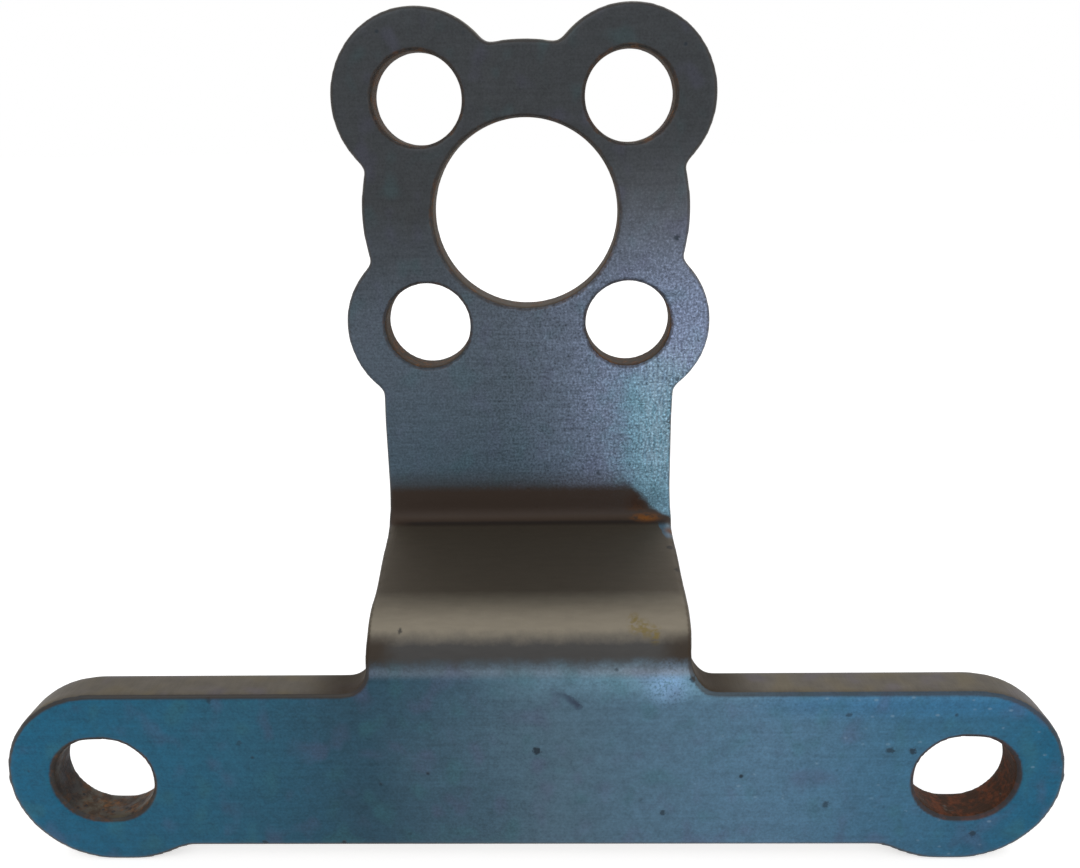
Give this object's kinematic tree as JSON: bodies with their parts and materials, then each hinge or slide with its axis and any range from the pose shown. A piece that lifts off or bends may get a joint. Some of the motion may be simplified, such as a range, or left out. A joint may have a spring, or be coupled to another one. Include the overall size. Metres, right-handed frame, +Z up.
{
  "type": "bracket",
  "caption": "Joggled steel plate bracket: a crossbar with a slotted eye at each end, and a stepped neck up to a lobed flange with a pilot bore and bolt holes.",
  "frame": {"origin": "centre of the pilot bore on the flange's front face", "axes": "+X along the crossbar, +Z up the neck towards the flange's top, +Y from the plate's front face to its back"},
  "size_m": [0.1288, 0.0295, 0.1016],
  "materials": {
    "plate": "blue-grey mill scale on the flat faces, bare brown-grey steel on the bends and cut edges, with rust in the holes"
  },
  "bodies": {
    "root": {"bracket": "plate"}
  },
  "joints": []
}
